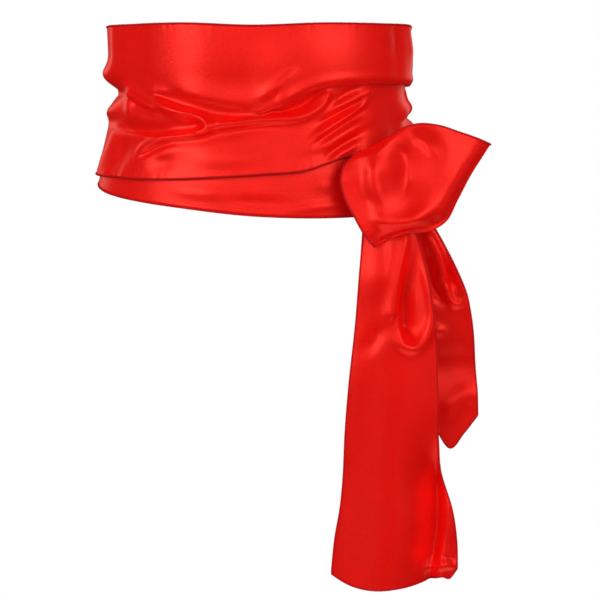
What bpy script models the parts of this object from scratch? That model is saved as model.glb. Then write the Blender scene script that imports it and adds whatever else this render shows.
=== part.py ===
"""
Waist scarf: one strip of red satin, wound twice round a waist and tied at one hip in a half bow.

The front is -Y and +Z is up. The origin is the middle of the waist that the scarf is worn on, at
the waistline. All sizes are in millimetres, and MM turns them into Blender's metres.

A place round the waist is an angle in degrees, 0 at the front and 90 at +X, where the knot's hip
is. Every stretch of the strip starts as a flat grid, and each point of the grid is carried to
where the cloth lies. A Solidify modifier then gives the sheet its wall.
"""
import math
from collections import namedtuple

import bmesh
import bpy
import numpy as np

MM = 0.001

# The cloth
WALL = 1.0
SEAM_GAP = 0.3
CLOTH_RED = (0.72, 0.008, 0.006, 1.0)
CLOTH_ROUGHNESS = 0.38
CLOTH_METALLIC = 0.25

# The waist that the first turn lies on, to the middle of its wall. The tied side stands off more.
WAIST_SHIFT = 3.0
Figure = namedtuple("Figure", "height half_width half_depth")
FIGURE = [
    Figure(90, 125.0, 92.0),
    Figure(80, 123.5, 91.0),
    Figure(50, 120.0, 88.5),
    Figure(25, 116.5, 86.0),
    Figure(0, 121.0, 89.0),
    Figure(-20, 127.0, 93.5),
    Figure(-45, 135.0, 99.5),
    Figure(-70, 139.0, 103.0),
    Figure(-80, 140.0, 104.0),
]

# Columns of the grid round the waist, closer where the gathers run
Span = namedtuple("Span", "start_deg end_deg columns")
SPANS = [
    Span(-180, -110, 8),
    Span(-110, -70, 6),
    Span(-70, 2, 14),
    Span(2, 26, 9),
    Span(26, 70, 10),
    Span(70, 108, 6),
    Span(108, 148, 11),
    Span(148, 180, 4),
]
SIDE_PER_DEGREE = 2.05

# First turn
INNER_TOP = 72.0
INNER_ROWS = 11
Edge = namedtuple("Edge", "place_deg height")
INNER_HEM = [
    Edge(-180, -52),
    Edge(-90, -51),
    Edge(-69, -55.5),
    Edge(-47, -59.5),
    Edge(-28, -63),
    Edge(0, -69),
    Edge(40, -71),
    Edge(90, -62),
    Edge(135, -55),
    Edge(180, -52),
]

# Second turn
OUTER_RIM = [
    Edge(-180, 80),
    Edge(-90, 79),
    Edge(-55, 81),
    Edge(-25, 82.3),
    Edge(-2, 80.6),
    Edge(24, 82.3),
    Edge(55, 81.5),
    Edge(75, 80.5),
    Edge(90, 77.5),
    Edge(110, 79),
    Edge(180, 80),
]
OUTER_HEM = [
    Edge(-180, -43),
    Edge(-90, -43),
    Edge(-56, -42),
    Edge(-33, -41),
    Edge(-17, -38.8),
    Edge(3, -35.7),
    Edge(17, -33),
    Edge(25, -28),
    Edge(31, -24),
    Edge(48, -21),
    Edge(62, -22),
    Edge(100, -33),
    Edge(140, -41),
    Edge(180, -43),
]
UPPER_ROWS = 6
LOWER_ROWS = 11

# How far the second turn stands off the first, before its creases
StandOff = namedtuple("StandOff", "height off")
STAND_OFF = [
    StandOff(85, 3.0),
    StandOff(70, 4.5),
    StandOff(45, 6.0),
    StandOff(20, 5.5),
    StandOff(0, 5.5),
    StandOff(-25, 4.0),
    StandOff(-45, 3.4),
]
LEAST_STAND_OFF = WALL + 0.7
STAND_OFF_ROUND = 1.0

# The lap at the right front, where the upper part folds over the gathers. Down each column the
# cloth turns inwards by turn_deg, runs on, and turns back by as much, so that no turn is flat cloth
# and half a turn is a full fold. Towards both ends the run shortens first, and then it unfolds.
LAP_TURN_LENGTH = 3.8
LAP_TURN_STEPS = 3
Lap = namedtuple("Lap", "place_deg lip_height run turn_deg")
LAP = [
    Lap(-180, 20, 1.0, 0),
    Lap(-10, 12, 1.0, 0),
    Lap(-2, 13, 1.0, 20),
    Lap(4, 15, 1.0, 75),
    Lap(9, 18, 1.0, 140),
    Lap(14, 23, 1.5, 180),
    Lap(19, 28, 4.0, 180),
    Lap(25, 31.5, 8.0, 180),
    Lap(33, 33.5, 9.0, 180),
    Lap(44, 34.5, 9.0, 180),
    Lap(70, 32.5, 9.0, 180),
    Lap(90, 30, 9.0, 180),
    Lap(112, 27.5, 8.0, 180),
    Lap(120, 26.5, 4.0, 180),
    Lap(128, 25.5, 1.5, 180),
    Lap(136, 25, 1.0, 130),
    Lap(144, 24, 1.0, 60),
    Lap(156, 22, 1.0, 0),
    Lap(180, 20, 1.0, 0),
]

# Creases of the second turn: each runs through three places, is raised by rise (sunk where it
# is below zero), and falls away over width to each side.
Crease = namedtuple("Crease", "name start middle end width rise")
CREASES = [
    Crease("side swell", (-125, 41), (-90, 39), (-62, 42), 9, 7.0),
    Crease("side notch", (-122, 21), (-92, 25), (-50, 25), 6, -5.5),
    Crease("long valley", (-48, 27), (-10, 9), (17, 17), 6, -3.8),
    Crease("side ridge", (-120, 1), (-90, 7), (-56, 13), 6, 4.0),
    Crease("upper arm", (-43, 26), (-32, 13), (-16, 2), 5, 4.6),
    Crease("between the arms", (-72, 0), (-46, 2), (-20, 3), 7, -4.2),
    Crease("lower arm", (-16, 1), (-31, -7), (-47, -23), 5, 4.4),
    Crease("front ridge", (-17, 2), (-2, 3), (15, 8), 5, 3.0),
    Crease("front valley", (-42, -19), (-17, -7), (10, 4), 5, -2.6),
    Crease("low left swell", (-100, -18), (-82, -20), (-62, -18), 8, 2.4),
    Crease("low left valley", (-66, -6), (-60, -24), (-58, -42), 6, -2.6),
    Crease("front swell", (-30, -24), (-10, -22), (10, -16), 9, 1.6),
    Crease("first gather", (12, 7), (30, 14), (50, 24), 5, 5.0),
    Crease("valley to the lap", (8, 11), (17, 17), (24, 26), 4, -3.4),
    Crease("first valley", (16, 1), (31, 9), (48, 17), 4, -3.2),
    Crease("second gather", (18, -14), (30, 4), (47, 19), 5, 5.0),
    Crease("second valley", (20, -20), (33, -3), (50, 8), 4, -2.6),
    Crease("third gather", (24, -25), (33, -12), (47, -2), 5, 4.0),
    Crease("upper back gather", (64, 3), (92, 15), (128, 21), 6, 3.6),
    Crease("upper back valley", (66, -3), (95, 5), (132, 10), 5, -2.6),
    Crease("middle back gather", (64, -9), (95, -4), (138, 0), 6, 4.0),
    Crease("lower back valley", (66, -14), (95, -14), (130, -12), 5, -2.6),
    Crease("lower back gather", (62, -17), (88, -25), (118, -29), 6, 3.6),
    Crease("back upper drape", (150, 44), (190, 36), (232, 42), 9, 3.4),
    Crease("back middle drape", (140, 12), (185, 6), (236, 14), 7, 3.8),
    Crease("back middle valley", (146, 24), (190, 20), (238, 24), 7, -3.2),
    Crease("back lower valley", (150, -6), (190, -12), (228, -7), 6, -2.6),
    Crease("back lower drape", (146, -24), (188, -27), (226, -20), 8, 2.6),
]
CREASE_STEPS = 24
CREASE_FADE = 0.3

# The knot: cloth wrapped round itself, outside the second turn
KNOT_DEG = 48.0
KNOT_HEIGHT = -20.0
KNOT_ALONG = 15.0
KNOT_OUT = 11.0
KNOT_UP = 10.5
KNOT_SEGMENTS = 20
KNOT_RINGS = 12
KNOT_PAD = 7.5
KNOT_SEAT_GAP = 0.6
KNOT_PAD_REACH = 21.0
KNOT_WRAPS = 3
KNOT_WRAP_RISE = 0.05

# The loop: its outline as four curves, a front sheet between them, and the back sheet behind
Place = namedtuple("Place", "share x y z")
LOOP_TOP_HEM = [
    Place(0.00, 111, -82.3, -6),
    Place(0.12, 121, -86.5, 0),
    Place(0.25, 132, -84, 3),
    Place(0.41, 146, -80, 2),
    Place(0.65, 165, -73, -4),
    Place(0.89, 184, -66, -11),
    Place(1.00, 192, -62, -15),
]
LOOP_LOW_HEM = [
    Place(0.00, 86, -86.5, -19),
    Place(0.10, 79, -92, -23),
    Place(0.22, 72, -94, -31),
    Place(0.32, 70, -96, -39),
    Place(0.46, 72, -97, -52),
    Place(0.68, 81, -99, -70),
    Place(0.85, 89, -100, -84),
    Place(1.00, 97, -100, -94),
]
LOOP_TURN = [
    Place(0.00, 192, -62, -15),
    Place(0.25, 174, -70, -42),
    Place(0.38, 165, -75, -59),
    Place(0.54, 155, -82, -76),
    Place(0.62, 147, -86, -81),
    Place(0.84, 118, -95, -86),
    Place(1.00, 97, -100, -94),
]
LOOP_NECK = [
    Place(0.0, 111, -82.3, -6),
    Place(0.5, 99, -84.9, -12.5),
    Place(1.0, 86, -86.5, -19),
]
LOOP_ACROSS = 22
LOOP_FRONT_ROWS = 12
LOOP_TURN_ROWS = 5
LOOP_BACK_ROWS = 8
LOOP_BULGE = 8.0
LOOP_TURN_RADIUS = 2.4
LOOP_OPENING = 5.0
LOOP_BACK_END = 0.13
LOOP_BACK_INSET = 0.04

# Folds of a sheet: across is the share of its width, and start and end are shares of its
# length, where the fold fades in and out. Rise is towards the front.
Fold = namedtuple("Fold", "name across_start across_end start end fade_in fade_out width rise")
LOOP_FOLDS = [
    Fold("top valley", 0.16, 0.28, 0.00, 0.92, 0.30, 0.30, 0.08, -7.0),
    Fold("middle ridge", 0.45, 0.56, 0.00, 0.95, 0.30, 0.30, 0.10, 6.0),
    Fold("lower valley", 0.66, 0.76, 0.02, 0.75, 0.25, 0.25, 0.08, -8.5),
    Fold("lower ridge", 0.88, 0.88, 0.08, 0.85, 0.25, 0.30, 0.07, 5.5),
]

# Front tail: its two edges and how far forward they hang, from the knot down
Section = namedtuple("Section", "height left right left_y right_y")
TAIL_FRONT = [
    Section(-26, 96, 114, -85, -80),
    Section(-45, 91, 118, -85, -82),
    Section(-70, 89, 126, -86, -83),
    Section(-95, 87.5, 134, -86, -85),
    Section(-120, 85.5, 140.5, -84, -87),
    Section(-155, 83, 146, -82, -87),
    Section(-210, 77.5, 149.5, -78, -86),
    Section(-255, 74.5, 151, -75, -85),
    Section(-285, 73.5, 154, -74, -84),
    Section(-315, 71, 163, -73, -84),
    Section(-340, 67, 167, -72, -84),
    Section(-385, 63, 167.5, -72, -84),
]
HemDrop = namedtuple("HemDrop", "across height")
TAIL_FRONT_HEM = [
    HemDrop(0.00, -373),
    HemDrop(0.16, -380),
    HemDrop(0.50, -381),
    HemDrop(0.75, -378),
    HemDrop(0.89, -371),
    HemDrop(0.94, -373),
    HemDrop(1.00, -366),
]
TAIL_FRONT_COLUMNS = 17
TAIL_FRONT_ROWS = 23
TAIL_FRONT_BULGE = 20.0
TAIL_FRONT_KNOT = (-48, 38, -35)
TAIL_FRONT_FOLDS = [
    Fold("left panel", 0.36, 0.40, 0.12, 0.42, 0.20, 0.60, 0.20, 4.0),
    Fold("pocket", 0.68, 0.72, 0.10, 0.44, 0.25, 0.30, 0.09, -12.0),
    Fold("pocket rim", 0.72, 0.76, 0.36, 0.52, 0.40, 0.60, 0.10, 4.0),
    Fold("right ridge", 0.93, 0.94, 0.10, 0.50, 0.25, 0.50, 0.07, 5.0),
    Fold("lower valley", 0.84, 0.70, 0.42, 1.10, 0.30, 0.00, 0.12, -13.0),
    Fold("left roll", 0.12, 0.10, 0.15, 1.10, 0.20, 0.00, 0.10, 3.0),
    Fold("corner roll", 0.97, 0.92, 0.66, 1.10, 0.40, 0.00, 0.07, 6.0),
]

# Back tail: a shorter sheet behind
TAIL_BACK = [
    Section(-30, 112, 120, -68, -63),
    Section(-46, 114, 127, -67, -63),
    Section(-70, 115, 140, -68, -65),
    Section(-100, 116, 157, -67, -69),
    Section(-120, 118, 167, -66, -68),
    Section(-137, 119, 174, -66, -66),
    Section(-155, 120, 178, -65, -65),
    Section(-205, 122, 183, -65, -63),
    Section(-275, 124, 187, -66, -62),
]
TAIL_BACK_HEM = [
    HemDrop(0.00, -210),
    HemDrop(0.40, -246),
    HemDrop(0.62, -267),
    HemDrop(0.80, -255),
    HemDrop(1.00, -240),
]
TAIL_BACK_COLUMNS = 15
TAIL_BACK_ROWS = 17
TAIL_BACK_BULGE = 3.0
TAIL_BACK_KNOT = (70, 122, -50)
TAIL_BACK_FOLDS = [
    Fold("left valley", 0.28, 0.34, 0.12, 0.66, 0.25, 0.30, 0.10, -3.5),
    Fold("ridge", 0.48, 0.50, 0.10, 0.60, 0.25, 0.30, 0.08, 4.5),
    Fold("right valley", 0.70, 0.74, 0.18, 0.85, 0.25, 0.30, 0.08, -4.5),
    Fold("right edge", 1.00, 1.00, 0.12, 1.10, 0.20, 0.00, 0.08, -6.0),
    Fold("low ridge", 0.55, 0.66, 0.58, 1.10, 0.40, 0.00, 0.16, 4.0),
]
# Share of a tail's length over which it leaves the knot
TAIL_LEAVES_KNOT = 0.14


def smooth_curve(rows, at):
    """Read a table of (place, value, ...) rows at one or more places, along a smooth curve."""
    table = np.array([tuple(row) for row in rows], float)
    places, values = table[:, 0], table[:, 1:]
    if places[0] > places[-1]:
        places, values = places[::-1], values[::-1]
    slopes = np.gradient(values, places, axis=0)
    at = np.clip(np.asarray(at, float), places[0], places[-1])
    row = np.clip(np.searchsorted(places, at, side="right") - 1, 0, len(places) - 2)
    span = (places[row + 1] - places[row])[..., None]
    t = ((at - places[row])[..., None]) / span
    start = (2 * t**3 - 3 * t**2 + 1) * values[row] + (t**3 - 2 * t**2 + t) * span * slopes[row]
    end = (3 * t**2 - 2 * t**3) * values[row + 1] + (t**3 - t**2) * span * slopes[row + 1]
    return start + end


def curve_height(rows, at):
    """The first value of a table, read at one or more places."""
    return smooth_curve(rows, at)[..., 0]


def smooth_step(value, low=0.0, high=1.0):
    t = np.clip((value - low) / (high - low), 0.0, 1.0)
    return t * t * (3 - 2 * t)


def columns_round():
    """The angles of the grid's columns, from the back round the front to the back again."""
    angles = [SPANS[0].start_deg]
    for span in SPANS:
        angles.extend(np.linspace(span.start_deg, span.end_deg, span.columns + 1)[1:])
    return np.array(angles, float)


def on_waist(deg, height, off):
    """A point that stands off the first turn's middle surface by off."""
    figure = smooth_curve(FIGURE, height)
    half_width, half_depth = figure[..., 0], figure[..., 1]
    sine, cosine = np.sin(np.radians(deg)), np.cos(np.radians(deg))
    normal_x, normal_y = sine / half_width, -cosine / half_depth
    length = np.hypot(normal_x, normal_y)
    x = WAIST_SHIFT + half_width * sine + off * normal_x / length
    y = -half_depth * cosine + off * normal_y / length
    return np.stack([x, y, height + 0 * x], axis=-1)


def crease_relief(crease, deg, height):
    """How much one crease raises the cloth at places given by angle and height."""
    t = np.linspace(0, 1, CREASE_STEPS)
    start, middle, end = (np.array(place, float) for place in crease[1:4])
    pull = 2 * middle - (start + end) / 2
    path = np.outer((1 - t) ** 2, start) + np.outer(2 * t * (1 - t), pull) + np.outer(t**2, end)
    fade = smooth_step(t, 0, CREASE_FADE) * smooth_step(1 - t, 0, CREASE_FADE)
    relief = np.zeros(np.shape(deg))
    for turn in (0, 360):
        across = (np.asarray(deg)[..., None] + turn - path[:, 0]) * SIDE_PER_DEGREE
        up = np.asarray(height)[..., None] - path[:, 1]
        near = fade * np.exp(-(across**2 + up**2) / crease.width**2)
        relief = np.maximum(relief, near.max(axis=-1))
    return crease.rise * relief


def knot_nearness(deg, height):
    """1 under the knot, falling smoothly to 0 away from it."""
    across = (deg - KNOT_DEG) * SIDE_PER_DEGREE
    reach = np.hypot(across, height - KNOT_HEIGHT) / KNOT_PAD_REACH
    return np.exp(-(reach**4))


def outer_stand_off(deg, height):
    """The second turn's distance from the first: base, creases, and a plain pad for the knot."""
    off = curve_height(STAND_OFF[::-1], height)
    for crease in CREASES:
        off = off + crease_relief(crease, deg, height)
    near = knot_nearness(deg, height)
    off = off * (1 - near) + KNOT_PAD * near
    over = off - LEAST_STAND_OFF
    return LEAST_STAND_OFF + (over + np.sqrt(over**2 + STAND_OFF_ROUND**2)) / 2


def lap_path(lip, run, turn_deg):
    """The lap down one column as (stand-off, height) rows: turn inwards, run on, turn back."""
    angles = np.radians(turn_deg) * (np.arange(LAP_TURN_STEPS) + 0.5) / LAP_TURN_STEPS
    angles = np.concatenate([angles, [np.radians(turn_deg)], angles[::-1]])
    lengths = np.full(len(angles), LAP_TURN_LENGTH / LAP_TURN_STEPS)
    lengths[LAP_TURN_STEPS] = run
    inwards = np.concatenate([[0], np.cumsum(np.sin(angles) * lengths)])
    downwards = np.concatenate([[0], np.cumsum(np.cos(angles) * lengths)])
    start = lip + LAP_TURN_LENGTH / math.pi
    return inwards[-1] - inwards, start - downwards


def outer_column(deg):
    """One column of the second turn, rim to hem: heights, lift over the gathers, even places."""
    rim, hem = curve_height(OUTER_RIM, deg), curve_height(OUTER_HEM, deg)
    lip, run, turn = smooth_curve(LAP, deg)
    run, turn = np.clip(run, LAP[0].run, None), np.clip(turn, 0, 180)
    lap_lift, lap_height = lap_path(lip, run, turn)
    upper = np.linspace(rim, lap_height[0], UPPER_ROWS + 1)[:-1]
    lower = np.linspace(lap_height[-1], hem, LOWER_ROWS + 1)[1:]
    heights = np.concatenate([upper, lap_height, lower])
    upper_lift = lap_lift[0] * smooth_step(np.arange(UPPER_ROWS), 0, UPPER_ROWS)
    lift = np.concatenate([upper_lift, lap_lift, 0 * lower])
    behind = np.maximum(heights - lip, 0) * turn / 180
    returned = smooth_step(heights[:UPPER_ROWS], lap_height.max(), rim)
    behind[:UPPER_ROWS] *= 1 - returned
    return heights, lift, heights - behind


def outer_turn_points():
    columns = columns_round()
    heights, lifts, places = np.moveaxis([outer_column(deg) for deg in columns], 0, -1)
    degs = np.broadcast_to(columns, heights.shape)
    return on_waist(degs, heights, outer_stand_off(degs, places) + lifts)


def inner_turn_points():
    columns = columns_round()
    share = np.linspace(0, 1, INNER_ROWS)[:, None]
    heights = INNER_TOP + (curve_height(INNER_HEM, columns) - INNER_TOP) * share
    degs = np.broadcast_to(columns, heights.shape)
    return on_waist(degs, heights, np.zeros(heights.shape))


def knot_frame():
    """The knot's middle, and its directions away from the waist and round it."""
    deg, height = np.array(KNOT_DEG), np.array(KNOT_HEIGHT)
    waist = on_waist(deg, height, np.array(0.0))
    out = on_waist(deg, height, np.array(1.0)) - waist
    around = np.array([-out[1], out[0], 0.0])
    off = outer_stand_off(deg, height) + WALL / 2 + KNOT_SEAT_GAP + KNOT_OUT
    return waist + out * off, out, around


def knot_skin(azimuth_deg, elevation_deg, off):
    """Points that stand off the knot: azimuth is round it from its front, elevation is up."""
    centre, out, around = knot_frame()
    azimuth, elevation = np.radians(azimuth_deg), np.radians(elevation_deg)
    forward = np.cos(azimuth) * np.cos(elevation) * (KNOT_OUT + off)
    sideways = np.sin(azimuth) * np.cos(elevation) * (KNOT_ALONG + off)
    points = centre + forward[..., None] * out + sideways[..., None] * around
    points[..., 2] += np.sin(elevation) * (KNOT_UP + off)
    return points


def fold_relief(folds, across, along):
    """How far a sheet's folds bring it forward, at shares across and along it."""
    relief = np.zeros(np.shape(across))
    for fold in folds:
        t = np.clip((along - fold.start) / (fold.end - fold.start), 0, 1)
        middle = fold.across_start + (fold.across_end - fold.across_start) * t
        fade = smooth_step(t, 0, fold.fade_in) if fold.fade_in else 1.0
        if fold.fade_out:
            fade = fade * smooth_step(1 - t, 0, fold.fade_out)
        relief = relief + fold.rise * fade * np.exp(-(((across - middle) / fold.width) ** 2))
    return relief


def loop_middle(across, along):
    """The surface between the loop's four edge curves, before it opens into two sheets."""
    top, low = smooth_curve(LOOP_TOP_HEM, along), smooth_curve(LOOP_LOW_HEM, along)
    neck, turn = smooth_curve(LOOP_NECK, across), smooth_curve(LOOP_TURN, across)
    ends = [np.array(row[1:], float) for row in (
        LOOP_TOP_HEM[0], LOOP_TOP_HEM[-1], LOOP_LOW_HEM[0], LOOP_LOW_HEM[-1])]
    p, q = across[..., None], along[..., None]
    at_top = (1 - q) * ends[0] + q * ends[1]
    at_low = (1 - q) * ends[2] + q * ends[3]
    points = (1 - p) * (top - at_top) + p * (low - at_low) + (1 - q) * neck + q * turn
    points[..., 1] -= LOOP_BULGE * np.sin(np.pi * across) * np.sin(np.pi * along)
    return points


def loop_points():
    """The loop as one sheet: the front from the neck out, the turn, and the back inwards."""
    across = np.linspace(0, 1, LOOP_ACROSS)
    length = np.linalg.norm(np.array(LOOP_TURN[2][1:]) - np.array(LOOP_NECK[1][1:]))
    turn_share = LOOP_TURN_RADIUS / length
    rows = []
    for along in np.linspace(0, 1 - turn_share, LOOP_FRONT_ROWS)[:-1]:
        opening = LOOP_TURN_RADIUS * smooth_step(along, 0, 0.2)
        opening += LOOP_OPENING * math.sin(math.pi * along)
        rows.append((along, -opening, 0.0, 1.0))
    for angle in np.linspace(0, math.pi, LOOP_TURN_ROWS):
        along = 1 - turn_share * (1 - math.sin(angle))
        rows.append((along, -LOOP_TURN_RADIUS * math.cos(angle), 0.0, 1.0))
    for along in np.linspace(1 - turn_share, LOOP_BACK_END, LOOP_BACK_ROWS)[1:]:
        inset = LOOP_BACK_INSET * smooth_step(1 - along, 0, 0.4)
        rows.append((along, LOOP_TURN_RADIUS, inset, 0.35))
    sheet = []
    for along, back, inset, fold_share in rows:
        tucked = inset + (1 - 2 * inset) * across
        points = loop_middle(tucked, np.full(across.shape, along))
        relief = fold_relief(LOOP_FOLDS, tucked, np.full(across.shape, along))
        points[:, 1] += back - relief * fold_share
        sheet.append(points)
    return np.array(sheet)


def tail_points(sections, hem, folds, bulge, columns, rows, knot):
    """A sheet that leaves the knot's skin and hangs between its two edges."""
    across, along = np.meshgrid(np.linspace(0, 1, columns), np.linspace(0, 1, rows))
    top = sections[0].height
    heights = top + (curve_height(hem, across) - top) * along
    left, right, left_y, right_y = np.moveaxis(smooth_curve(sections, heights), -1, 0)
    x = left + (right - left) * across
    y = left_y + (right_y - left_y) * across
    y = y - bulge * np.sin(np.pi * across) * smooth_step(along)
    y = y - fold_relief(folds, across, along)
    hanging = np.stack([x, y, heights], axis=-1)
    azimuth = knot[0] + (knot[1] - knot[0]) * across
    held = knot_skin(azimuth, knot[2] + 0 * azimuth, WALL / 2 + SEAM_GAP)
    free = smooth_step(along, 0, TAIL_LEAVES_KNOT)[..., None]
    return held + (hanging - held) * free


def satin(name):
    material = bpy.data.materials.new(name)
    material.use_nodes = True
    shader = material.node_tree.nodes["Principled BSDF"]
    shader.inputs["Base Color"].default_value = CLOTH_RED
    shader.inputs["Roughness"].default_value = CLOTH_ROUGHNESS
    shader.inputs["Metallic"].default_value = CLOTH_METALLIC
    material.diffuse_color = CLOTH_RED
    return material


def add_object(name, mesh, collection):
    mesh.materials.append(satin(name + "_satin"))
    mesh.shade_smooth()
    scarf_part = bpy.data.objects.new(name, mesh)
    collection.objects.link(scarf_part)
    return scarf_part


def sheet_of_cloth(name, points, collection, closed=False):
    """Carry a flat grid's points to where the cloth lies, and give the sheet its wall."""
    rows, columns = points.shape[:2]
    sheet = bmesh.new()
    bmesh.ops.create_grid(sheet, x_segments=columns - 1, y_segments=rows - 1, size=1)
    places = points.reshape(-1, 3) * MM
    for vertex, place in zip(sheet.verts, places):
        vertex.co = place
    if closed:
        bmesh.ops.remove_doubles(sheet, verts=sheet.verts[:], dist=1e-6)
    mesh = bpy.data.meshes.new(name)
    sheet.to_mesh(mesh)
    sheet.free()
    cloth = add_object(name, mesh, collection)
    wall = cloth.modifiers.new("Wall", "SOLIDIFY")
    wall.thickness = WALL * MM
    wall.offset = 0.0
    return cloth


def make_knot(collection):
    """A flattened ball with the shallow waves of the strip wrapped round it."""
    centre, out, around = knot_frame()
    ball = bmesh.new()
    bmesh.ops.create_uvsphere(ball, u_segments=KNOT_SEGMENTS, v_segments=KNOT_RINGS, radius=1)
    for vertex in ball.verts:
        x, y, z = vertex.co
        wave = 1 - KNOT_WRAP_RISE * math.cos(KNOT_WRAPS * math.pi * (z + 0.3 * x)) ** 2
        place = centre - around * x * KNOT_ALONG * wave + out * y * KNOT_OUT * wave
        place[2] += z * KNOT_UP
        vertex.co = place * MM
    mesh = bpy.data.meshes.new("knot")
    ball.to_mesh(mesh)
    ball.free()
    return add_object("knot", mesh, collection)


def main():
    for old in list(bpy.data.objects):
        bpy.data.objects.remove(old, do_unlink=True)
    scarf = bpy.data.collections.new("waist_scarf")
    bpy.context.scene.collection.children.link(scarf)
    sheet_of_cloth("turn_inner", inner_turn_points(), scarf, closed=True)
    sheet_of_cloth("turn_outer", outer_turn_points(), scarf, closed=True)
    make_knot(scarf)
    sheet_of_cloth("loop", loop_points(), scarf)
    front = tail_points(
        TAIL_FRONT, TAIL_FRONT_HEM, TAIL_FRONT_FOLDS, TAIL_FRONT_BULGE,
        TAIL_FRONT_COLUMNS, TAIL_FRONT_ROWS, TAIL_FRONT_KNOT)
    sheet_of_cloth("tail_front", front, scarf)
    back = tail_points(
        TAIL_BACK, TAIL_BACK_HEM, TAIL_BACK_FOLDS, TAIL_BACK_BULGE,
        TAIL_BACK_COLUMNS, TAIL_BACK_ROWS, TAIL_BACK_KNOT)
    sheet_of_cloth("tail_back", back, scarf)


main()
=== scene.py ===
# %% [markdown]
# # A waist scarf of red satin
#
# The real object is one long strip of satin with a sewn hem all round. It is wound twice round a
# waist and tied at one hip in a half bow: one loop, a long tail in front and a short one behind.
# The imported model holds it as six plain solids. This lesson replaces each one with cloth on the
# same form, five thin sheets and the wrapped knot. It adds the creases, the sewn hem and the satin,
# and lights the whole softly.

# %% Load the frame
import math
from collections import namedtuple

import bpy
import numpy as np
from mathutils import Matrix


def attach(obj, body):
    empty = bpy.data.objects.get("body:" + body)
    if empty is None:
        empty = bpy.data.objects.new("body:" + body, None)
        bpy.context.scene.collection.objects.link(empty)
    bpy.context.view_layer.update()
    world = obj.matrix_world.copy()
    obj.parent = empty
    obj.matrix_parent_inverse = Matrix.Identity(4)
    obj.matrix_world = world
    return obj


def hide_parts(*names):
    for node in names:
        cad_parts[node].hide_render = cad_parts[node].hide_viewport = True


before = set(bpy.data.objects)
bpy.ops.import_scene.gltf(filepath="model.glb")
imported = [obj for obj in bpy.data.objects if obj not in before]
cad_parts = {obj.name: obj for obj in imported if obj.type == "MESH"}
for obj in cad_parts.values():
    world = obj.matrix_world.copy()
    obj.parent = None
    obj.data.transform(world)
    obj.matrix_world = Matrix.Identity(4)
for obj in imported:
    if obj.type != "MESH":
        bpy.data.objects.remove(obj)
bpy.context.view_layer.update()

# %% [markdown]
# ## Camera
#
# The picture was taken from far off with a long lens, level with the scarf's rim and looking
# slightly down, so the rim shows as a straight line and the hems as shallow curves. A camera 1.5 m
# away with a lens of about 106 mm gives the same small perspective.

# %% Camera
MM = 0.001
CAMERA_PLACE = (37.4 * MM, -1500 * MM, 81 * MM)
CAMERA_LENS = 105.88
CAMERA_SENSOR = 36.0
CAMERA_DOWN_DEG = 8.857


def put_in_scene(name, data):
    """An object at the origin, so a finished piece's place is in its mesh."""
    thing = bpy.data.objects.new(name, data)
    bpy.context.scene.collection.objects.link(thing)
    return thing


eye = bpy.data.cameras.new("view")
eye.lens = CAMERA_LENS
eye.sensor_width = CAMERA_SENSOR
camera = put_in_scene("view", eye)
camera.location = CAMERA_PLACE
camera.rotation_euler = (math.radians(90 - CAMERA_DOWN_DEG), 0, 0)
bpy.context.scene.camera = camera
print("camera lens", eye.lens, "mm")

# %% [markdown]
# ## Reading a form from short tables
#
# Cloth has no straight edges, so each edge and section is a short table of places and sizes in
# millimetres, and a smooth curve is read between its rows. The values could go in as hundreds of
# points, but a table of a few rows is easier to check against the real thing.

# %% Smooth tables
def smooth_curve(rows, at):
    """Read a table of (place, value, ...) rows, up or down, at places on a smooth curve."""
    table = np.array([tuple(row) for row in rows], float)
    places, values = table[:, 0], table[:, 1:]
    if places[0] > places[-1]:
        places, values = places[::-1], values[::-1]
    slopes = np.gradient(values, places, axis=0)
    at = np.clip(np.asarray(at, float), places[0], places[-1])
    row = np.clip(np.searchsorted(places, at, side="right") - 1, 0, len(places) - 2)
    span = (places[row + 1] - places[row])[..., None]
    t = ((at - places[row])[..., None]) / span
    start = (2 * t**3 - 3 * t**2 + 1) * values[row] + (t**3 - 2 * t**2 + t) * span * slopes[row]
    end = (3 * t**2 - 2 * t**3) * values[row + 1] + (t**3 - t**2) * span * slopes[row + 1]
    return start + end


def rows_of(kind, *rows):
    """A table whose rows are all of one kind, so that each number has a name."""
    return [kind(*row) for row in rows]


def smooth_value(rows, at):
    """Read a table that has one value a row."""
    return smooth_curve(rows, at)[..., 0]


def smooth_step(value, low=0.0, high=1.0):
    """0 below low, 1 above high, and an even slope at both ends between them."""
    t = np.clip((value - low) / (high - low), 0.0, 1.0)
    return t * t * (3 - 2 * t)


# %% [markdown]
# ## Creases as strokes
#
# Satin falls in soft ridges and troughs that are sharp on one side and run out on the other. A
# cloth simulation would put them anywhere, and here each has its place. So a crease is a stroke: a
# smooth line through a few places, a width to the left and the right of the line as one travels
# along it, a rise, and the shares of its length over which it fades in and out. It fades over three
# tenths at each end where it doesn't say.

# %% Strokes
Stroke = namedtuple("Stroke", "name places left right rise fade_in fade_out", defaults=(0.3, 0.3))
STROKE_PIECES = 40
STROKE_REACH = 2.6
SIDE_BLEND = 0.6
TINY = 1e-9


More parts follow.
